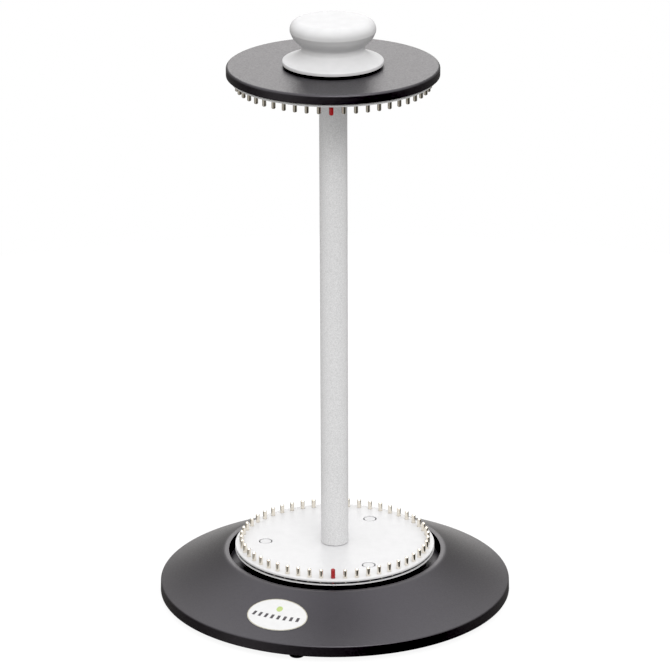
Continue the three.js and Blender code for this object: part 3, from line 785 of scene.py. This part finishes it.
def on_cone(along, down, lift):
    """A point on the cone: along its circumference, down its slope, and lifted off it."""
    step = 0.1
    radius = CONE_INNER_R
    for _ in range(int(down / step)):
        slope = (cone_height(radius) - cone_height(radius + step)) / step
        radius += step / math.hypot(1.0, slope)
    tilt = math.atan(cone_height(radius - 0.5) - cone_height(radius + 0.5))
    middle_r = CONE_INNER_R + LABEL_SLOPE_LENGTH * 0.9  # about the radius of the label's middle
    angle = LABEL_ANGLE_DEG - 90.0 + math.degrees(along / middle_r)
    x, y = on_circle(radius + lift * math.sin(tilt), angle)
    return x, y, cone_height(radius) + lift * math.cos(tilt)


def base_label():
    """The oval label, a film with a soft edge that follows the cone."""
    top = LABEL_PROFILE
    edge = rounded([(0.0, 0.0), (1.0, 0.0, LABEL_PROFILE_FILLET),
                    (1.0, top, LABEL_PROFILE_FILLET), (0.0, top)], closed=False)
    rings = [0.15 * i for i in range(1, LABEL_RINGS + 1)]
    outline = [(0.0, 0.0), *[(r, 0.0) for r in rings], *edge[1:-1],
               *[(r, top) for r in reversed(rings)], (0.0, top)]
    disc = turned("base_label_film", outline, closed=False, segments=MEDIUM_ROUND)
    for vertex in disc.data.vertices:
        x, y, z = vertex.co / MM
        point = on_cone(x * LABEL_WIDTH / 2, LABEL_SLOPE_LENGTH - y * LABEL_HEIGHT / 2,
                        LABEL_LIFT + z / top * LABEL_THICK)
        vertex.co = Vector(point) * MM
    shade_smooth(disc.data)
    return finished(disc, "stand", "label_film", "base_label")


def oval(inset):
    """The label's outline, moved inwards."""
    across = LABEL_WIDTH / 2 - inset
    down = LABEL_HEIGHT / 2 - inset
    return [(across * x, down * y) for x, y in places(MEDIUM_ROUND, 1.0, 0.0)]


def printed(name, outlines, material):
    """A layer of ink on the label, from outlines in millimetres about its middle."""
    piece = plate(name, outlines, 0.0, INK_THICK, INK_EDGE)
    for vertex in piece.data.vertices:
        x, y, z = vertex.co / MM
        lift = LABEL_LIFT + LABEL_THICK - INK_SINK + z
        vertex.co = Vector(on_cone(x, LABEL_SLOPE_LENGTH - y, lift)) * MM
    finished(piece, "stand", "label_film", "base_label")
    piece.data.materials[0] = material


def label_print():
    """A thin border, and a plain green dot over a row of plain dark bars."""
    half = BAR_WIDTH / 2
    bars = []
    for i in range(BAR_COUNT):
        x = (i - (BAR_COUNT - 1) / 2) * BAR_PITCH
        bars.append([(x - half - BAR_SLANT, -BAR_HEIGHT), (x + half - BAR_SLANT, -BAR_HEIGHT),
                     (x + half, 0.0), (x - half, 0.0)])
    border = [oval(BORDER_INSET), oval(BORDER_INSET + BORDER_WIDTH)]
    dot = [circle(DOT_R, (0.0, DOT_Y), SCREW_ROUND)]
    olive = ink("label_border_ink", (0.3, 0.28, 0.2), (0.38, 0.36, 0.27))
    dark = ink("label_dark_ink", (0.05, 0.045, 0.05), (0.08, 0.075, 0.08))
    green = ink("label_green_ink", (0.32, 0.4, 0.14), (0.38, 0.47, 0.18))
    printed("base_label_border", border, olive)
    printed("base_label_bars", bars, dark)
    printed("base_label_dot", dot, green)


# ---- the thrust bearing --------------------------------------------------------------------
def bearing():
    """Two grooved races, and the balls in their cage between them."""
    lower = Extent("bearing_lower_race")
    upper = Extent("bearing_upper_race")
    middle = (lower.top + upper.bottom) / 2
    half = math.degrees(math.acos((middle - lower.top) / GROOVE_R))

    def groove(towards_deg):
        return arc(BALL_CIRCLE_R, middle, GROOVE_R, towards_deg + half, towards_deg - half,
                   GROOVE_STEPS)

    low_groove = groove(270.0)
    sides = rounded([
        (RACE_INNER_R, lower.bottom, EDGE),
        (lower.radius, lower.bottom, EDGE),
        (lower.radius, lower.top, EDGE),
        low_groove[0],
    ], closed=False)
    piece = turned("lower_race_turned", [*sides[:-1], *low_groove, (RACE_INNER_R, lower.top)])
    finished(piece, "stand", "bright_steel", "bearing_lower_race")

    high_groove = groove(90.0)
    sides = rounded([
        high_groove[-1],
        (upper.radius, upper.bottom, EDGE),
        (upper.radius, upper.top, EDGE),
        (RACE_INNER_R, upper.top),
    ], closed=False)
    piece = turned("upper_race_turned", [(RACE_INNER_R, upper.bottom), *high_groove, *sides[1:]])
    drill = [(0.0, 0.0), (SCREW_HOLE_R, 0.0), (SCREW_HOLE_R, 60.0), (0.0, 60.0)]
    holes = [turned("hole", drill, False, SCREW_ROUND, at) for at in CAP_PLACES]
    boolean(piece, holes, "DIFFERENCE")
    finished(piece, "carousel", "bright_steel", "bearing_upper_race")

    pockets = places(BALL_COUNT, BALL_CIRCLE_R, 0.0)
    half_circle = arc(0.0, middle, BALL_R, -90.0, 90.0, SCREW_ROUND // 2)
    balls = [turned("ball", half_circle, False, SCREW_ROUND, at) for at in pockets]
    rims = [circle(CAGE_OUTER_R, points=MEDIUM_ROUND), circle(CAGE_INNER_R, points=MEDIUM_ROUND),
            *[circle(BALL_POCKET_R, at, SCREW_ROUND) for at in pockets]]
    cage = plate("cage", rims, middle - CAGE_HALF_THICK, middle + CAGE_HALF_THICK, 0.15)
    piece = merged("ball_cage_and_balls", [cage, *balls])
    return finished(piece, "bearing_cage", "bright_steel", "bearing_ball_cage")


# ---- pins and their discs ------------------------------------------------------------------
def cutter(radius, at, bottom, top, chamfer, segments):
    """A drill that also breaks the edges of its hole."""
    over = 1.0
    outline = [
        (0.0, bottom - over),
        (radius + chamfer, bottom - over),
        (radius + chamfer, bottom),
        (radius, bottom + chamfer),
        (radius, top - chamfer),
        (radius + chamfer, top),
        (radius + chamfer, top + over),
        (0.0, top + over),
    ]
    return turned("cutter", outline, False, segments, at)


def pin_disc(name, node, hub_r, hole_r, pinned, top_edge=2 * EDGE, thinner=0.0):
    """A disc with a soft rim, drilled for the hub, the screws or caps, and the pins."""
    size = Extent(node)
    size.top -= thinner
    disc = turned(name, rounded([
        (0.0, size.bottom),
        (size.radius, size.bottom, FINE_EDGE),
        (size.radius, size.top, top_edge),
        (0.0, size.top),
    ], False), closed=False)
    ends = (size.bottom, size.top)
    drills = [cutter(hub_r, (0.0, 0.0), *ends, 0.15, SMALL_ROUND)]
    drills += [cutter(hole_r, at, *ends, FINE_EDGE, SMALL_ROUND) for at in CAP_PLACES]
    if pinned:
        for at in PIN_PLACES:
            radius = INDEX_PIN_R if at == PIN_PLACES[0] else PIN_R
            drills.append(cutter(radius + PIN_FIT, at, *ends, HAIR_EDGE, PIN_ROUND))
    boolean(disc, drills, "DIFFERENCE")
    return finished(disc, "carousel", "white_paint", node)


def pin_outline(radius, tip_z):
    """A pin with a riveted foot and a domed tip."""
    dome = PIN_DOME * radius
    foot = rounded([
        (0.0, 0.0),
        (PIN_FOOT_R, 0.0, HAIR_EDGE),
        (PIN_FOOT_R, PIN_FOOT_THICK, HAIR_EDGE),
        (radius, PIN_FOOT_THICK),
    ], closed=False)
    tip = [(radius * x, tip_z - dome + dome * z) for x, z in arc(0.0, 0.0, 1.0, 0.0, 75.0, 5)]
    return [*foot, *tip, (0.0, tip_z)]


def pin(name, radius, tip_z):
    """A pin at the index place, with the tongue of its foot."""
    x, y = PIN_PLACES[0]
    body = turned("pin_body", pin_outline(radius, tip_z), False, PIN_ROUND, (x, y))
    half = TONGUE_WIDTH / 2
    end = arc(0.0, half - TONGUE_OUTER_R, half, -180.0, 0.0, 9)
    tongue = plate("tongue", [[*end, (half, y), (-half, y)]], 0.0, PIN_FOOT_THICK, 0.12)
    return merged(name, [body, tongue])


def pin_ring(name, node, index_node, turn_over):
    """The 49 pins, the red index pin in the free place, and the dark carrier in the slot. The
    carrier is partly real and partly painted shade: black, and wide enough to darken the slot.
    """
    level = Extent(node)
    steel = merged(name, turned_round(pin("pin", PIN_R, level.height), PIN_COUNT, True))
    index = pin(name + "_index", INDEX_PIN_R, Extent(index_node).height)
    carrier = ring(name + "_carrier", CARRIER_INNER_R, CARRIER_OUTER_R,
                   CARRIER_BOTTOM, CARRIER_TOP, HAIR_EDGE)
    place = Matrix.Translation((0.0, 0.0, level.bottom * MM))
    if turn_over:
        mirror = Matrix.Scale(-1.0, 4, (0.0, 0.0, 1.0))
        place = Matrix.Translation((0.0, 0.0, level.top * MM)) @ mirror
    for piece, source, slot in ((steel, node, "pin_chrome"), (index, index_node, "red_plastic"),
                                (carrier, node, "black_plastic")):
        piece.data.transform(place)
        if turn_over:
            piece.data.flip_normals()
        finished(piece, "carousel", slot, source)


def plate_screw(number, at):
    size = Extent(f"plate_screw_{number}")
    head_bottom = size.top - 1.4
    tip = 0.3
    head = [(SCREW_R, head_bottom), (size.radius, head_bottom, HAIR_EDGE),
            (size.radius, size.top, 0.8), (0.0, size.top)]
    outline = [
        (0.0, size.bottom),
        *threaded(SCREW_R, size.bottom + tip, head_bottom, *FINE_THREAD),
        *rounded(head, closed=False)[1:],
    ]
    piece = turned(f"plate_screw_{number}_fine", outline, False, SCREW_ROUND, at)
    cross_recess(piece, at, size.top, depth=0.8, reach=1.6)
    return finished(piece, "carousel", "zinc", f"plate_screw_{number}")


def screw_cap(number, at):
    size = Extent(f"screw_cap_{number}")
    rim = size.radius - CAP_SEAM
    outline = rounded([(0.0, size.bottom), (rim, size.bottom), (rim, size.top, CAP_FILLET),
                       (0.0, size.top)], closed=False)
    piece = turned(f"screw_cap_{number}_fine", outline, False, SMALL_ROUND, at)
    return finished(piece, "carousel", "white_plastic", f"screw_cap_{number}")


def turntable():
    pin_disc("turntable_lower_disc", "turntable_bottom_plate", TUBE_BORE_R, SCREW_HOLE_R, False,
             SHEET_EDGE, LOWER_DISC_THINNER)
    pin_disc("turntable_upper_disc", "turntable_top_plate", TUBE_BORE_R, CAP_HOLE_R, True)
    pin_ring("turntable_pins", "turntable_pin_ring", "turntable_index_pin", turn_over=False)
    simple_ring("plate_spacer_fine", "plate_spacer", TUBE_BORE_R, HAIR_EDGE, "zinc")
    hub = Extent("turntable_hub")
    flange_top = Extent("turntable_bottom_plate").bottom - GAP
    piece = turned("turntable_hub_turned", rounded([
        (STUD_HOLE_R, hub.bottom, FINE_EDGE),
        (hub.radius, hub.bottom, EDGE),
        (hub.radius, flange_top, EDGE),
        (HUB_STEM_R, flange_top, EDGE),
        (HUB_STEM_R, hub.top, TURNED_EDGE),
        (STUD_HOLE_R, hub.top, FINE_EDGE),
    ]), segments=MEDIUM_ROUND)
    finished(piece, "carousel", "bright_steel", "turntable_hub")
    for number, at in enumerate(CAP_PLACES, 1):
        plate_screw(number, at)
        screw_cap(number, at)


# ---- the column ----------------------------------------------------------------------------
def column():
    simple_ring("column_tube_fine", "column_tube", TUBE_BORE_R, SHEET_EDGE, "grey_paint",
                GRIP_ROUND)
    simple_ring("column_plug_turned", "column_plug", STUD_HOLE_R, TURNED_EDGE, "bright_steel",
                SMALL_ROUND)


# ---- the crown -----------------------------------------------------------------------------
def crown_cover():
    size = Extent("crown_cover")
    disc = Extent("crown_backing_plate")
    seat = disc.top + GAP
    skin = size.top - SHELL
    skirt = disc.radius + CROWN_PLAY
    shell = turned("crown_cover_shell", rounded([
        (STUD_HOLE_R, seat, FINE_EDGE),
        (CROWN_SEAT_R, seat, EDGE),
        (CROWN_SEAT_R, skin, TURNED_EDGE),
        (CROWN_SKIRT_INNER_R, skin, TURNED_EDGE),
        (CROWN_SKIRT_INNER_R, seat, EDGE),
        (skirt, seat),
        (skirt, size.bottom, FINE_EDGE),
        (size.radius, size.bottom, SOFT_EDGE),
        (size.radius, size.top, CROWN_FILLET),
        (STUD_HOLE_R, size.top, FINE_EDGE),
    ]))
    sunk = skin + 0.5  # the bosses reach into the skin
    boss = [(0.0, seat), (CROWN_BOSS_R, seat), (CROWN_BOSS_R, sunk), (0.0, sunk)]
    bosses = [turned("boss", boss, False, SCREW_ROUND, at) for at in CAP_PLACES]
    boolean(shell, bosses, "UNION")
    return finished(shell, "carousel", "black_plastic", "crown_cover")


def crown_screw(number, at):
    size = Extent(f"crown_screw_{number}")
    head_top = Extent("crown_pin_plate").bottom - GAP
    tip = 0.8
    head = [(0.0, size.bottom), (size.radius, size.bottom + 0.2, 1.2),
            (size.radius, head_top, HAIR_EDGE), (SMALL_SCREW_R, head_top)]
    outline = [
        *rounded(head, closed=False)[:-1],
        *threaded(SMALL_SCREW_R, head_top, size.top - tip),
        (0.0, size.top),
    ]
    piece = turned(f"crown_screw_{number}_fine", outline, False, SCREW_ROUND, at)
    cross_recess(piece, at, size.bottom, depth=1.0, reach=1.7)
    return finished(piece, "carousel", "zinc", f"crown_screw_{number}")


def crown():
    holes = (STUD_HOLE_R, SMALL_SCREW_HOLE_R)
    pin_disc("crown_lower_disc", "crown_pin_plate", *holes, True)
    pin_disc("crown_upper_disc", "crown_backing_plate", *holes, False, SOFT_EDGE)
    pin_ring("crown_pins", "crown_pin_ring", "crown_index_pin", turn_over=True)
    simple_ring("crown_spacer_fine", "crown_spacer", STUD_HOLE_R, HAIR_EDGE, "zinc")
    crown_cover()
    for number, at in enumerate(CAP_PLACES, 1):
        crown_screw(number, at)


# ---- the knob ------------------------------------------------------------------------------
def knob():
    """A mushroom grip: a flared flange, a short stem and a head with an undercut side."""
    size = Extent("knob")
    bore = Extent("knob_insert").radius + GAP
    bore_top = Extent("knob_insert").top + GAP
    z = size.bottom
    flange = rounded([(bore, z), (size.radius, z, 0.7), (size.radius, z + 2.5, 0.9),
                      (29.2, z + 3.1)], closed=False)
    flare = spline([(28.6, z + 3.3), (26.8, z + 3.95), (24.7, z + 5.0), (22.7, z + 6.4),
                    (21.2, z + 7.9), (20.5, z + 8.8)], 5)
    stem = spline([(20.3, z + 9.3), (20.25, z + 10.6), (20.6, z + 12.0), (21.6, z + 13.3)], 4)
    undercut = spline([(22.8, z + 14.3), (24.5, z + 16.0), (26.0, z + 18.1), (27.0, z + 20.4),
                       (27.3, z + 21.1)], 4)
    top = arc(KNOB_HEAD_R - KNOB_HEAD_FILLET, size.top - KNOB_HEAD_FILLET, KNOB_HEAD_FILLET,
              0.0, 90.0, 14)
    outline = [*flange, *flare, *stem, *undercut, (KNOB_HEAD_R, z + 21.5), *top, (0.0, size.top),
               (0.0, bore_top), (bore, bore_top), (bore, z)]
    piece = turned("knob_moulding", outline, closed=False, segments=GRIP_ROUND)
    welded(piece.data)
    shade_smooth(piece.data, KNOB_CREASE_DEG)
    return finished(piece, "carousel", "white_plastic", "knob")


def knob_fittings():
    simple_ring("knob_washer_fine", "knob_washer", STUD_HOLE_R, 0.15, "black_plastic")
    simple_ring("knob_insert_turned", "knob_insert", STUD_HOLE_R, EDGE, "brass", SMALL_ROUND)
    stud = Extent("knob_stud")
    tip = 0.5
    outline = [(0.0, stud.bottom),
               *threaded(STUD_R, stud.bottom + tip, stud.top - tip, *STUD_THREAD),
               (0.0, stud.top)]
    piece = turned("knob_stud_threaded", outline, closed=False, segments=THREAD_ROUND)
    return finished(piece, "carousel", "zinc", "knob_stud")


# ---- stage, light and camera ---------------------------------------------------------------
CAMERA_AZIMUTH_DEG = 1.1  # towards +X from straight in front
CAMERA_DISTANCE = 2479.3  # from the turning axis
CAMERA_HEIGHT = 1069.0
CAMERA_PITCH_DEG = 19.717
CAMERA_YAW_DEG = 0.0147
CAMERA_ROLL_DEG = -0.2072
CAMERA_LENS = 217.87
FLOOR_R = 750.0

FLOOR_COLOUR = (0.1, 0.1, 0.1, 1.0)
FLOOR_GLOW = 0.9
WHITE = (1.0, 1.0, 1.0, 1.0)

WALL_FRONT = 1.25  # radiance of the tent's walls, backdrop, ceiling and lower half
WALL_SIDE = 0.5
WALL_BACK = 2.4
CEILING_FRONT = 1.5
CEILING_BACK = 1.75
LOW = 0.22
LOW_LEFT = 0.55
LOW_RIGHT = 0.03
WALL_TURN = (-0.15, 0.35)  # parts of a direction between which one radiance turns into another
BACKDROP_START = (0.3, 0.8)
BACKDROP_EDGE = (0.05, 0.27)
CEILING_START = (0.35, 0.8)
LEFT_TURN = (-0.9, -0.1)
RIGHT_TURN = (0.05, 0.5)
MIDDLE = (-0.02, 0.02)
FRONT_END = (-0.4, 0.0)
HORIZON = (-0.08, 0.12)
HORIZON_TILT = 0.1
BACKDROP_SHIFT = 0.01
LOW_TINT = (1.0, 0.985, 0.95)
HIGH_TINT = (0.985, 0.985, 1.0)
BLACK_LEVEL = 0.022

SOFTBOX_WIDTH = 2.2  # metres and watts
SOFTBOX_HEIGHT = 1.0
SOFTBOX_DISTANCE = 2.9
SOFTBOX_ELEVATION_DEG = 42.0
SOFTBOX_AZIMUTH_DEG = 15.0  # towards +X from straight in front
SOFTBOX_POWER = 34.0


def camera():
    data = bpy.data.cameras.new("camera")
    data.lens = CAMERA_LENS
    data.sensor_width = 36.0
    data.clip_end = 20.0
    piece = linked("camera", data)
    turn = Matrix.Rotation(math.radians(CAMERA_AZIMUTH_DEG), 4, "Z")
    place = Matrix.Translation(Vector((0.0, -CAMERA_DISTANCE, CAMERA_HEIGHT)) * MM)
    yaw = Matrix.Rotation(math.radians(-CAMERA_YAW_DEG), 4, "Z")
    pitch = Matrix.Rotation(math.radians(90.0 - CAMERA_PITCH_DEG), 4, "X")
    roll = Matrix.Rotation(math.radians(CAMERA_ROLL_DEG), 4, "Z")
    piece.matrix_world = turn @ place @ yaw @ pitch @ roll
    bpy.context.scene.camera = piece


def floor():
    """A pale floor that glows evenly, so that it stays plain in every view."""
    piece = turned("floor", [(0.0, 0.0), (FLOOR_R, 0.0)], closed=False)
    piece.data.flip_normals()
    material = bpy.data.materials.new("floor")
    material.use_nodes = True
    shader = material.node_tree.nodes["Principled BSDF"]
    shader.inputs["Base Color"].default_value = FLOOR_COLOUR
    shader.inputs["Roughness"].default_value = 0.9
    shader.inputs["Specular IOR Level"].default_value = 0.0
    shader.inputs["Emission Color"].default_value = WHITE
    shader.inputs["Emission Strength"].default_value = FLOOR_GLOW
    piece.data.materials.append(material)
    piece.visible_glossy = False


def softbox():
    """A wide soft light over the camera."""
    data = bpy.data.lights.new("softbox", "AREA")
    data.shape = "RECTANGLE"
    data.size = SOFTBOX_WIDTH
    data.size_y = SOFTBOX_HEIGHT
    data.energy = SOFTBOX_POWER
    piece = linked("softbox", data)
    aim = Matrix.Translation((0.0, 0.0, 0.2))
    rise = Matrix.Rotation(math.radians(90.0 - SOFTBOX_ELEVATION_DEG), 4, "X")
    turn = Matrix.Rotation(math.radians(SOFTBOX_AZIMUTH_DEG), 4, "Z")
    piece.matrix_world = aim @ turn @ rise @ Matrix.Translation((0.0, 0.0, SOFTBOX_DISTANCE))
    piece.visible_camera = False


def studio():
    """A white tent whose light depends on its direction. The camera sees plain white instead."""
    world = bpy.data.worlds.new("studio")
    world.use_nodes = True
    bpy.context.scene.world = world
    nodes = world.node_tree.nodes
    links = world.node_tree.links
    direction = nodes.new("ShaderNodeSeparateXYZ")
    links.new(nodes.new("ShaderNodeTexCoord").outputs["Generated"], direction.inputs["Vector"])
    across, ahead, up = (direction.outputs[axis] for axis in "XYZ")

    def ramp(source, limits, first, last):
        """A smooth change from the first value to the last between two limits."""
        change = nodes.new("ShaderNodeMapRange")
        change.interpolation_type = "SMOOTHSTEP"
        change.inputs["From Min"].default_value = limits[0]
        change.inputs["From Max"].default_value = limits[1]
        change.inputs["To Min"].default_value = first
        change.inputs["To Max"].default_value = last
        links.new(source, change.inputs["Value"])
        return change.outputs["Result"]

    def mix(source, limits, first, last):
        """The same for two sockets."""
        blend = nodes.new("ShaderNodeMix")
        links.new(ramp(source, limits, 0.0, 1.0), blend.inputs["Factor"])
        links.new(first, blend.inputs["A"])
        links.new(last, blend.inputs["B"])
        return blend.outputs["Result"]

    def maths(operation, source, number=0.0):
        step = nodes.new("ShaderNodeMath")
        step.operation = operation
        step.inputs[1].default_value = number
        links.new(source, step.inputs[0])
        return step

    aside = maths("ABSOLUTE", maths("ADD", across, BACKDROP_SHIFT).outputs["Value"])
    walls = ramp(ahead, WALL_TURN, WALL_FRONT, WALL_SIDE)
    backdrop = ramp(aside.outputs["Value"], BACKDROP_EDGE, WALL_BACK, WALL_SIDE)
    walls = mix(ahead, BACKDROP_START, walls, backdrop)
    ceiling = ramp(ahead, (-1.0, 1.0), CEILING_FRONT, CEILING_BACK)
    upper = mix(up, CEILING_START, walls, ceiling)

    left = ramp(across, LEFT_TURN, LOW_LEFT, LOW)
    right = ramp(across, RIGHT_TURN, LOW, LOW_RIGHT)
    low = nodes.new("ShaderNodeValue").outputs["Value"]
    low.default_value = LOW
    lower = mix(ahead, FRONT_END, mix(across, MIDDLE, left, right), low)

    above = maths("MULTIPLY_ADD", ahead, HORIZON_TILT)
    links.new(up, above.inputs[2])
    light = mix(above.outputs["Value"], HORIZON, lower, upper)
    tint = nodes.new("ShaderNodeValToRGB")
    tint.color_ramp.elements[0].color = (*LOW_TINT, 1.0)
    tint.color_ramp.elements[1].color = (*HIGH_TINT, 1.0)
    links.new(up, tint.inputs["Fac"])

    shown = nodes["Background"]
    shown.inputs["Color"].default_value = WHITE
    lighting = nodes.new("ShaderNodeBackground")
    links.new(light, lighting.inputs["Strength"])
    links.new(tint.outputs["Color"], lighting.inputs["Color"])
    switch = nodes.new("ShaderNodeMixShader")
    links.new(nodes.new("ShaderNodeLightPath").outputs["Is Camera Ray"], switch.inputs["Fac"])
    links.new(lighting.outputs["Background"], switch.inputs[1])
    links.new(shown.outputs["Background"], switch.inputs[2])
    links.new(switch.outputs["Shader"], nodes["World Output"].inputs["Surface"])


def view_settings():
    """Plain colours, with the blacks pushed down as in the photo."""
    view = bpy.context.scene.view_settings
    view.view_transform = "Standard"
    view.use_curve_mapping = True
    view.curve_mapping.black_level = (BLACK_LEVEL,) * 3
    view.curve_mapping.update()


# ---- everything together -------------------------------------------------------------------
camera()
base_cover()
base_plate()
ballast()
for number, at in enumerate(FOOT_PLACES, 1):
    rubber_foot(number, at)
    foot_screw(number, at)
spindle()
spindle_nut()
retainer()
base_label()
label_print()
bearing()
turntable()
column()
crown()
knob()
knob_fittings()
floor()
studio()
softbox()
view_settings()
